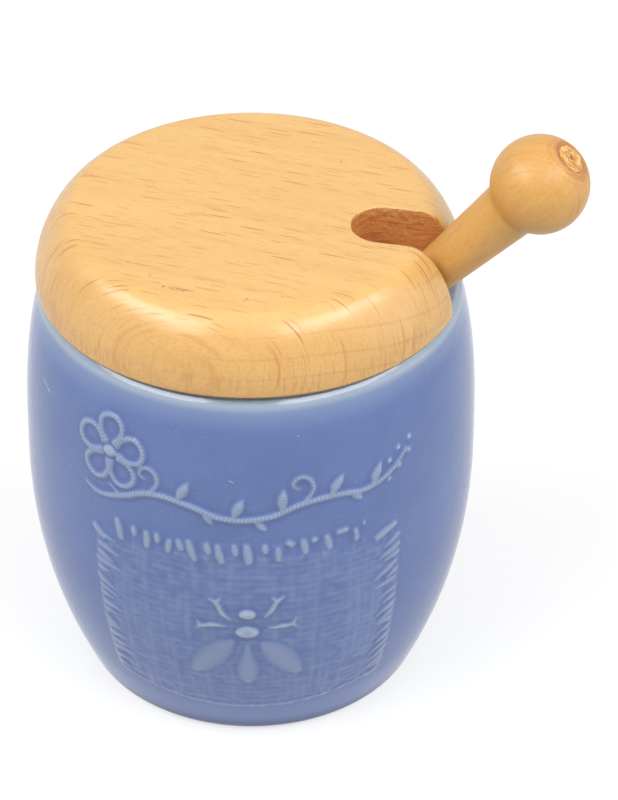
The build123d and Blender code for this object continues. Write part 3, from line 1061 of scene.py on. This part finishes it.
def joined(name, meshes):
    mesh = bmesh.new()
    for data in meshes:
        mesh.from_mesh(data)
    data = bpy.data.meshes.new(name)
    mesh.to_mesh(data)
    mesh.free()
    return mesh_object(name, data)


mould = joined("mould", moulds)
print("mould:", len(mould.data.vertices), "vertices")

# %% [markdown]
# ## The barrel's wall
#
# A cell is divided where the cloth covers it or a stroke comes near. Each vertex of the wall keeps its place on the
# flat drawing: `girth`, along the wall from the middle of the decoration, and `rise`, up from the table.

# %% Which cells are divided
margin = 0.7                           # how near a stroke has to come to a cell, mm
cloth_margin = 1.5
drawn_x, drawn_y = np.array([vertex.co.xy for vertex in mould.data.vertices]).T
divided = np.zeros((COLUMNS, ROWS), bool)
for column in range(COLUMNS):
    x = ((column + 0.5) / COLUMNS - 0.5) * girth_length
    for row in range(ROWS):
        y = wall_low + (row + 0.5) * cell_high
        in_cloth = abs(x) < patch_half + cloth_margin
        in_cloth = in_cloth and patch_bottom - cloth_margin < y < patch_top + cloth_margin
        near_x = np.abs(drawn_x - x) < cell_wide / 2 + margin
        near_y = np.abs(drawn_y - y) < cell_high / 2 + margin
        divided[column, row] = in_cloth or (near_x & near_y).any()
print("divided cells:", int(divided.sum()), "of", divided.size)

# %% Points of the wall
OFF_THE_DRAWING = -100                 # the height given to the rim, the inside and the foot
barrel_mesh = bmesh.new()
girth_layer = barrel_mesh.verts.layers.float.new("girth")
height_layer = barrel_mesh.verts.layers.float.new("rise")
wall_points = {}


def wall_point(column, row):
    """The wall's vertex at a place on the fine grid, made when first asked for."""
    key = (column % (COLUMNS * DIVISIONS), row)
    if key not in wall_points:
        girth = (key[0] / (COLUMNS * DIVISIONS) - 0.5) * girth_length
        height = wall_low + row * cell_high / DIVISIONS
        turn, radius = front + girth / belly_radius, wall_radius(height)
        vertex = barrel_mesh.verts.new((radius * cos(turn) * MM, radius * sin(turn) * MM, height * MM))
        vertex[girth_layer], vertex[height_layer] = girth, height
        wall_points[key] = vertex
    return wall_points[key]


print("the wall's fine grid is", COLUMNS * DIVISIONS, "by", ROWS * DIVISIONS)


# %% The barrel's outside
def cell_outline(column, row):
    """The vertices round a plain cell, with its divided neighbours' extra points taken in."""
    left, low = column * DIVISIONS, row * DIVISIONS
    sides = (
        (0, 0, 1, 0, (column, row - 1)), (DIVISIONS, 0, 0, 1, (column + 1, row)),
        (DIVISIONS, DIVISIONS, -1, 0, (column, row + 1)), (0, DIVISIONS, 0, -1, (column - 1, row)))
    outline = []
    for x, y, step_x, step_y, (beside_column, beside_row) in sides:
        fine = 0 <= beside_row < ROWS and divided[beside_column % COLUMNS, beside_row]
        for step in range(DIVISIONS if fine else 1):
            outline.append(wall_point(left + x + step_x * step, low + y + step_y * step))
    return outline


def hub_of(outline):
    """A vertex on the wall in the middle of an outline."""
    middle = sum((vertex.co for vertex in outline), Vector()) / len(outline)
    hub = barrel_mesh.verts.new(middle)
    hub.co.xy *= wall_radius(middle.z / MM) * MM / hub.co.xy.length
    hub[girth_layer] = sum(vertex[girth_layer] for vertex in outline) / len(outline)
    hub[height_layer] = middle.z / MM
    return hub


for column in range(COLUMNS):
    for row in range(ROWS):
        if not divided[column, row]:
            outline = cell_outline(column, row)
            if len(outline) == 4:
                barrel_mesh.faces.new(outline)
            else:
                fan(barrel_mesh, hub_of(outline), outline)
            continue
        for i in range(column * DIVISIONS, (column + 1) * DIVISIONS):
            for j in range(row * DIVISIONS, (row + 1) * DIVISIONS):
                corners = (i, j), (i + 1, j), (i + 1, j + 1), (i, j + 1)
                barrel_mesh.faces.new([wall_point(*corner) for corner in corners])
print("barrel's outside:", len(barrel_mesh.faces), "faces")

# %% [markdown]
# The rim, the inside and the foot carry no relief, so they are plain rings with one point to a column. The rim is
# bevelled before it is rounded, as a sponge leaves it, and the foot has a shallow recess, so that the pot stands on a
# ring. `throat` is where the straight mouth ends and the belly opens inside.

# %% Rim, inside and foot
throat = pot_height - mouth_rounding - mouth_depth
low_turn = 15                          # where the inside starts to turn in to the floor, mm up


def ring_of(radius, height):
    ring = []
    for column in range(COLUMNS):
        turn = front + (column / COLUMNS - 0.5) * 2 * pi
        vertex = barrel_mesh.verts.new((radius * cos(turn) * MM, radius * sin(turn) * MM, height * MM))
        vertex[girth_layer], vertex[height_layer] = 0, OFF_THE_DRAWING
        ring.append(vertex)
    return ring


def band(lower, upper):
    for index in range(COLUMNS):
        beside = (index + 1) % COLUMNS
        barrel_mesh.faces.new((lower[index], lower[beside], upper[beside], upper[index]))


def inside_at(height):
    """A point of the inside, one wall's thickness in from the outside."""
    return wall_radius(height) - wall_thickness, height


rim_line = rounded([
    (wall_radius(wall_high), wall_high, 0), *rim_edge,
    (mouth_radius, pot_height, mouth_rounding), (mouth_radius, throat + 2, 0)], 8)[1:-1]
belly_bore = belly_radius - wall_thickness
inner_wall = through([
    (mouth_radius, throat + 2), (mouth_radius, throat), (41.0, throat - 9),
    (belly_bore - 0.7, belly_height + 14), (belly_bore, belly_height - 3),
    inside_at(38), inside_at(24), inside_at(low_turn)], 5)
floor_edge = inside_at(floor_height)[0] - 0.6
floor_line = rounded([
    (*inside_at(low_turn), 0), (floor_edge, floor_height, floor_rounding), (18, floor_height, 0)], 8)[1:]
floor_line += [Vector((9, floor_height)), Vector((2, floor_height))]
heel_line = rounded([
    (wall_radius(wall_low), wall_low, 0), (wall_radius(0), 0, heel_rounding),
    (recess_radius + recess_depth, 0, 0.5), (recess_radius, recess_depth, 0.6), (20, recess_depth, 0)], 6)[1:]
heel_line += [Vector((10, recess_depth)), Vector((2, recess_depth))]

inside_rings = [ring_of(*point) for point in [*rim_line, *inner_wall, *floor_line]]
foot_rings = [ring_of(*point) for point in heel_line]
top_edge = [wall_point(column * DIVISIONS, ROWS * DIVISIONS) for column in range(COLUMNS)]
low_edge = [wall_point(column * DIVISIONS, 0) for column in range(COLUMNS)]
for first, second in zip([top_edge, *inside_rings], inside_rings):
    band(first, second)
for first, second in zip([low_edge, *foot_rings], foot_rings):
    band(second, first)
for ring, height in ((inside_rings[-1], floor_height), (foot_rings[-1], recess_depth)):
    pole = barrel_mesh.verts.new((0, 0, height * MM))
    pole[height_layer] = OFF_THE_DRAWING
    fan(barrel_mesh, pole, ring)
barrel = finished(barrel_mesh, "barrel")

# %% [markdown]
# ## Pressing the relief
#
# Now the mould is pressed into the wall. Every point of the wall knows its place on the flat drawing, so a ray sent
# down there onto the mould says how high the relief stands. The cloth itself is too fine to draw thread by thread: it
# is a formula for a plain weave, warp and weft taking turns on top, worn away in patches. Its edges are formulas too:
# a selvedge down each side, a hem along the bottom, and a fringe under the tufts along the top.

# %% The cloth as a formula
CLOTH = {
    "Cloth half width": "Float", "Cloth top": "Float", "Cloth bottom": "Float", "Top bow": "Float",
    "Bottom bow": "Float", "Cloth lift": "Float", "Thread pitch": "Float", "Weave lift": "Float"}


def weave(tree, x, y, pitch):
    """Warp and weft threads, each from 0 in a gap to 1 on a thread, as the one on top shows."""
    sway = (noise(tree, (x * 0.10, y * 0.10), 0.5) - 0.5) * 1.6
    warp_turn = (x + sway) / (pitch * 1.1)
    weft_turn = (y + sway + 3.0) / pitch
    warp, weft = (((turn * 2 * pi).step("COSINE") * 0.5 + 0.5) ** 0.6 for turn in (warp_turn, weft_turn))
    thick_warp = noise(tree, (x / 2.6, y / 24), 1).rises(0.30, 0.64)
    thick_weft = noise(tree, (x / 22, y / 1.9, 9.0), 1).rises(0.15, 0.6) * 0.6 + 0.4
    worn_warp = noise(tree, (x / 3.6, y / 5.0, 40.0), 1.0).rises(0.28, 0.62) * 0.6 + 0.4
    worn_weft = noise(tree, (x / 2.8, y / 1.9, 20.0), 1.0).rises(0.26, 0.62) * 0.8 + 0.2
    warp = warp * thick_warp * worn_warp * 0.95
    weft = weft * thick_weft * worn_weft
    over = ((warp_turn.step("FLOOR") + weft_turn.step("FLOOR")) * 0.5).step("FRACT") * 2.0
    return (warp * (over * 0.45 + 0.55)).step("MAXIMUM", weft * (over * 0.45).rest())


def cloth_edges(tree, x, y, half, top, bottom, top_bow, bottom_bow):
    """How far a place is inside the cloth, from 0 to 1, and how high the cloth's edge stands there, in mm."""
    bow = (x / half) * (x / half)
    under_top, over_bottom = top - bow * top_bow - y, y - bottom - bow * bottom_bow
    from_side = half - abs(x)
    patchy = noise(tree, (x / 2.2, 3.0), 1.0).rises(0.30, 0.62)
    inside = from_side.rises(-0.6, 2.0) * under_top.rises(-0.5, 4.0)
    inside = inside * over_bottom.rises(0.0, patchy.rest() * 2.5 + 0.8)
    selvedge = abs(from_side - 0.5).falls(0.1, 1.2) * under_top.rises(0.0, 2.0) * over_bottom.rises(0.0, 2.0)
    hem = abs(over_bottom - 0.7).falls(0.1, 0.75) * patchy * from_side.rises(0.0, 2.0)
    fringe = noise(tree, (x / 0.95, y / 9), 1.0).rises(0.42, 0.68)
    fringe = fringe * under_top.falls(3.0, 6.5) * under_top.rises(-0.8, 0.6) * from_side.rises(0.0, 2.0)
    edge = (fringe * 0.3).step("MAXIMUM", hem * 0.5).step("MAXIMUM", selvedge * 0.15)
    return inside, edge


print("the cloth is set by", len(CLOTH), "sizes")

# %% [markdown]
# A little blur does what glaze does, which is to fill hollows and round edges. How far a point stands above a wider
# blur is kept as `crest`: glaze runs thin and pale there, and pools dark where it is below.

# %% The press tree
def press_tree():
    tree, given = new_tree("press", {
        "Barrel": "Geometry", "Mould": "Object", **CLOTH, "Glaze": "Material"}, "Barrel")
    half, top, bottom, top_bow, bottom_bow, lift, pitch, weave_lift = (
        Sum(tree, given[label]) for label in CLOTH)
    x, y = kept_as(tree, "girth"), kept_as(tree, "rise")
    target = put(tree, "GeometryNodeObjectInfo", {"Object": given["Mould"]}, transform_space="ORIGINAL")

    def felt(name):
        """Sends the rays down onto the mould, and reads one of its attributes where they land."""
        return put(tree, "GeometryNodeRaycast", {
            "Target Geometry": target.outputs["Geometry"], "Attribute": kept_as(tree, name),
            "Source Position": vector_of(tree, x, y, 8.0), "Ray Direction": (0, 0, -1),
            "Ray Length": 8.01}).outputs

    def blur(value, times):
        node = put(tree, "GeometryNodeBlurAttribute", {"Value": value, "Iterations": times})
        return Sum(tree, node.outputs[0])

    hit = felt("rib_turn")
    drawn = parts_of(tree, hit["Hit Position"])[2] * Sum(tree, hit["Is Hit"])
    clear = drawn.falls(0.0, 0.25)
    inside, edge = cloth_edges(tree, x, y, half, top, bottom, top_bow, bottom_bow)

    geometry = stored(tree, given["Barrel"], "thread", weave(tree, x, y, pitch) * clear * inside)
    geometry = stored(tree, geometry, "thread", blur(kept_as(tree, "thread"), 5))
    geometry = stored(tree, geometry, "cloth", inside * clear)
    geometry = stored(tree, geometry, "rib_turn", Sum(tree, hit["Attribute"]))
    geometry = stored(tree, geometry, "rib_share", Sum(tree, felt("rib_share")["Attribute"]))
    geometry = stored(tree, geometry, "relief", inside * lift + drawn.step("MAXIMUM", edge))
    geometry = stored(tree, geometry, "relief", blur(kept_as(tree, "relief"), 3))
    geometry = stored(tree, geometry, "crest", kept_as(tree, "relief") - blur(kept_as(tree, "relief"), 26))
    geometry = stored(tree, geometry, "raised", blur(drawn, 1))
    normal = put(tree, "GeometryNodeInputNormal").outputs[0]
    height = (kept_as(tree, "relief") + kept_as(tree, "thread") * weave_lift) * MM
    push = put(tree, "ShaderNodeVectorMath", {0: normal, "Scale": height}, operation="SCALE").outputs[0]
    pressed = put(tree, "GeometryNodeSetPosition", {"Geometry": geometry, "Offset": push}).outputs[0]
    return end_tree(tree, pressed, given["Glaze"])


press = press_tree()
print("press tree:", len(press.nodes), "nodes")

# %% The pot pressed
pot_data = baked(
    barrel, press, mould=mould, cloth_half_width=patch_half, cloth_top=patch_top,
    cloth_bottom=patch_bottom, top_bow=top_bow, bottom_bow=bottom_bow, cloth_lift=0.12, thread_pitch=1.65,
    weave_lift=0.36, glaze=glaze)
bpy.data.objects.remove(mould)
pot_data.name = "glazed_pot"
pot_data.shade_smooth()
glazed_pot = mesh_object("glazed_pot", pot_data)
relief = np.zeros(len(pot_data.vertices), np.float32)
pot_data.attributes["relief"].data.foreach_get("value", relief)
print("glazed_pot:", len(pot_data.vertices), "vertices,", open_edges(pot_data), "open edges,",
      sum(len(face.vertices) - 2 for face in pot_data.polygons), "triangles")
print("relief up to", round(float(relief.max()), 2), "mm")

# %% [markdown]
# ## Glaze
#
# The glaze is a thick glassy coat, coloured through. Where it runs thin over an edge it breaks to a pale blue-white,
# and where it pools it is deeper. So its colour follows `crest`. It also thins towards the rim, where it ran down in
# the kiln, and a painted highlight lies on the rim's edge. A paler band above the foot is a painted reflection of the
# floor, and the foot itself is darkened by painted shade. Its own surface is glossy and very slightly uneven, as an
# orange's skin is, with a few pin-holes and two short scratches.

# %% The glaze's colour
scratches = [                          # from and to, in girth and height, and half the width, mm
    ((-54.5, 80.7), (-50.3, 79.4), 0.22), ((-3.8, 75.9), (-2.5, 75.3), 0.2)]


def scratched(tree, colour, girth, rise, grit):
    """The glaze's colour with the scratches drawn in it, paler and broken up by grit."""
    for (start_x, start_y), (end_x, end_y), half in scratches:
        run = Vector((end_x - start_x, end_y - start_y))
        along, off = run.normalized(), Vector((-run.y, run.x)).normalized()
        from_x, from_y = girth - start_x, rise - start_y
        beside = abs(from_x * off.x + from_y * off.y)
        reach = from_x * along.x + from_y * along.y
        ends = reach.rises(0.0, 0.4) * reach.falls(run.length - 0.4, run.length)
        mark = beside.falls(half * 0.3, half) * ends * grit.rises(0.3, 0.6)
        colour = tinted(tree, colour, mark * 0.8, (186, 200, 216))
    return colour


def glaze_finish(tree, shader, place):
    crest, raised_by, cloth, thread, rib_turn, rib_share, girth, rise = (
        Sum(tree, put(tree, "ShaderNodeAttribute", attribute_name=name).outputs["Fac"])
        for name in ("crest", "raised", "cloth", "thread", "rib_turn", "rib_share", "girth", "rise"))
    x, y, z = (value / MM for value in parts_of(tree, place))
    mottle = noise(tree, (x * 0.06, y * 0.06, z * 0.06), 3)
    grit = noise(tree, (x / 0.45, y / 0.45, z / 0.45), 2, 0.6)
    skin = noise(tree, (x * 0.35, y * 0.35, z * 0.35), 2)
    rib = (rib_turn * 2 * pi).step("SINE") * 0.5 + 0.5
    bead = rib * rib_share.step("MINIMUM", 1.0)
    thin = crest.rises(0.02, 0.31).step("MAXIMUM", raised_by.rises(0.06, 0.56) * 0.78)

    colour = blended(tree, mottle.rises(0.3, 0.7), screen(91, 115, 172), screen(98, 123, 180))
    for amount, tone in (
            (grit.rises(0.35, 0.65) * 0.5, (88, 110, 164)),
            (cloth * 0.5, (83, 106, 165)),
            (thread.rises(0.04, 0.75) * 0.52, (132, 154, 193)),               # thin on the threads
            (crest.falls(-0.14, -0.01) * 0.45, (76, 95, 152)),                # pooled in hollows
            (thin * (bead * 0.5).rest(), (155, 171, 192)),                    # thin on what is raised
            (z.rises(2.5, 6.0) * z.falls(8.0, 14.0) * 0.6, (124, 146, 199)),  # painted reflection of the floor above the foot
            (z.falls(1.0, 5.0) * 0.7, (58, 74, 128)),                         # painted shade at the foot
            ((z + mottle * 2.0).rises(86.5, 93.5) * 0.6, (142, 162, 194)),    # thinner towards the rim
            (z.rises(90.4, 92.3) * 0.75, (176, 190, 204))):                   # thinnest on it, with a painted highlight on the rim's edge
        colour = tinted(tree, colour, amount, tone)
    colour = scratched(tree, colour, girth, rise, grit)
    pin_holes = put(tree, "ShaderNodeTexVoronoi", {"Vector": vector_of(tree, x, y, z), "Scale": 0.16})
    pin_hole = Sum(tree, pin_holes.outputs["Distance"]).falls(0.02, 0.04)
    colour = tinted(tree, colour, pin_hole * 0.5, (170, 186, 206))

    hills = skin + thread * 0.4 - bead * thin * 0.5 + grit * 0.05
    bump = put(tree, "ShaderNodeBump", {"Height": hills, "Strength": 0.3, "Distance": 0.15 * MM}).outputs[0]
    tree.links.new(colour, shader.inputs["Base Color"])
    tree.links.new((skin * 0.05 + grit * 0.04 + 0.05).socket, shader.inputs["Roughness"])
    tree.links.new(bump, shader.inputs["Normal"])
    shader.inputs["IOR"].default_value = 1.55
    print("glaze of", len(tree.nodes), "nodes")


glaze_finish(glaze_tree, glaze_shader, glaze_place)
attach(glazed_pot, "pot")
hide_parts("pot")

# %% [markdown]
# ## Light
#
# The stage is lit as a small product is: a bright, even sky, two long soft lamps in front to the left and right, a
# wide soft one above, and a weak one low at the side to open up the shaded flank. Big lamps make the long soft
# highlights on the lid's shoulder and on the glazed rim. What the camera, a reflection or a refraction sees of the sky
# is plain white; the strength that falls on the object is a separate number, so that colours come out about as they
# are written.

# %% The sky and the lamps
sky_strength = 0.215
world = bpy.data.worlds.new("studio")
world.use_nodes = True
sky = world.node_tree
bare = sky.nodes["Background"]
bare.inputs["Color"].default_value = (1, 1, 1, 1)
bare.inputs["Strength"].default_value = sky_strength
plain_white = put(sky, "ShaderNodeBackground", {"Color": (1, 1, 1, 1), "Strength": 1.0})
rays_seen = put(sky, "ShaderNodeLightPath")
seen = Sum(sky, rays_seen.outputs["Is Camera Ray"]).step("MAXIMUM", rays_seen.outputs["Is Glossy Ray"])
seen = seen.step("MAXIMUM", rays_seen.outputs["Is Transmission Ray"])
choice = put(sky, "ShaderNodeMixShader", {0: seen, 1: bare.outputs[0], 2: plain_white.outputs[0]})
sky.links.new(choice.outputs[0], sky.nodes["World Output"].inputs["Surface"])
bpy.context.scene.world = world


lamp_aim = Vector((0, 0, 0.07))


def lamp(name, place, width, height, power):
    """A soft rectangular lamp turned to lamp_aim. Lengths are in metres and power in watts."""
    data = bpy.data.lights.new(name, "AREA")
    data.shape, data.size, data.size_y, data.energy = "RECTANGLE", width, height, power
    light = bpy.data.objects.new(name, data)
    light.location = place
    light.rotation_mode = "QUATERNION"
    light.rotation_quaternion = (lamp_aim - Vector(place)).to_track_quat("-Z", "Y")
    bpy.context.scene.collection.objects.link(light)
    print(f"{name}: {Vector(place).length:.2f} m away, {power / (width * height):.1f} W per square metre")


lamp("lamp_above", (0.0, -0.20, 1.30), 1.2, 1.2, 4.6)
lamp("lamp_left", (-0.64, -0.50, 0.92), 1.20, 0.44, 9.6)
lamp("lamp_right", (0.75, -0.32, 0.93), 1.20, 0.36, 7.8)
lamp("lamp_side", (0.95, 0.02, 0.34), 0.7, 0.7, 1.6)

# %% [markdown]
# ## The floor
#
# The floor is a plain pale sheet. To the camera it glows a little under what falls on it, so that it comes out nearly
# white and still keeps the pot's shadow, and it fades to pure white before its edge. A reflection sees the same glow,
# weaker. All other light meets a plain pale grey.

# %% The floor
floor_size = 0.7                       # from the middle to each side, metres
fade_from, fade_to = 0.22, 0.6
glow, edge_glow, glow_in_reflections = 0.67, 1.02, 0.75
seen_grey, unseen_grey = (0.38, 0.38, 0.38, 1), (0.60, 0.60, 0.60, 1)

floor_mesh = bmesh.new()
bmesh.ops.create_grid(floor_mesh, x_segments=1, y_segments=1, size=floor_size)
floor_data = bpy.data.meshes.new("floor")
floor_mesh.to_mesh(floor_data)
floor_mesh.free()

floor_white, tree, shader, place = new_material("floor_white")
rays_seen = put(tree, "ShaderNodeLightPath")
seen = Sum(tree, rays_seen.outputs["Is Glossy Ray"]) * glow_in_reflections
seen = seen.step("MAXIMUM", rays_seen.outputs["Is Camera Ray"])
x, y, _ = parts_of(tree, place)
far_out = length_of(x, y).rises(fade_from, fade_to)
tree.links.new(blended(tree, seen, unseen_grey, seen_grey), shader.inputs["Base Color"])
tree.links.new((seen * (far_out * (edge_glow - glow) + glow)).socket, shader.inputs["Emission Strength"])
shader.inputs["Emission Color"].default_value = (1, 1, 1, 1)
shader.inputs["Roughness"].default_value = 1.0
shader.inputs["Specular IOR Level"].default_value = 0.0
floor_data.materials.append(floor_white)
floor = mesh_object("floor", floor_data)
print("floor:", 2 * floor_size, "m across, fades to white from", fade_from, "to", fade_to, "m")

# %% [markdown]
# The dressed model has to stay inside the plain model's size.
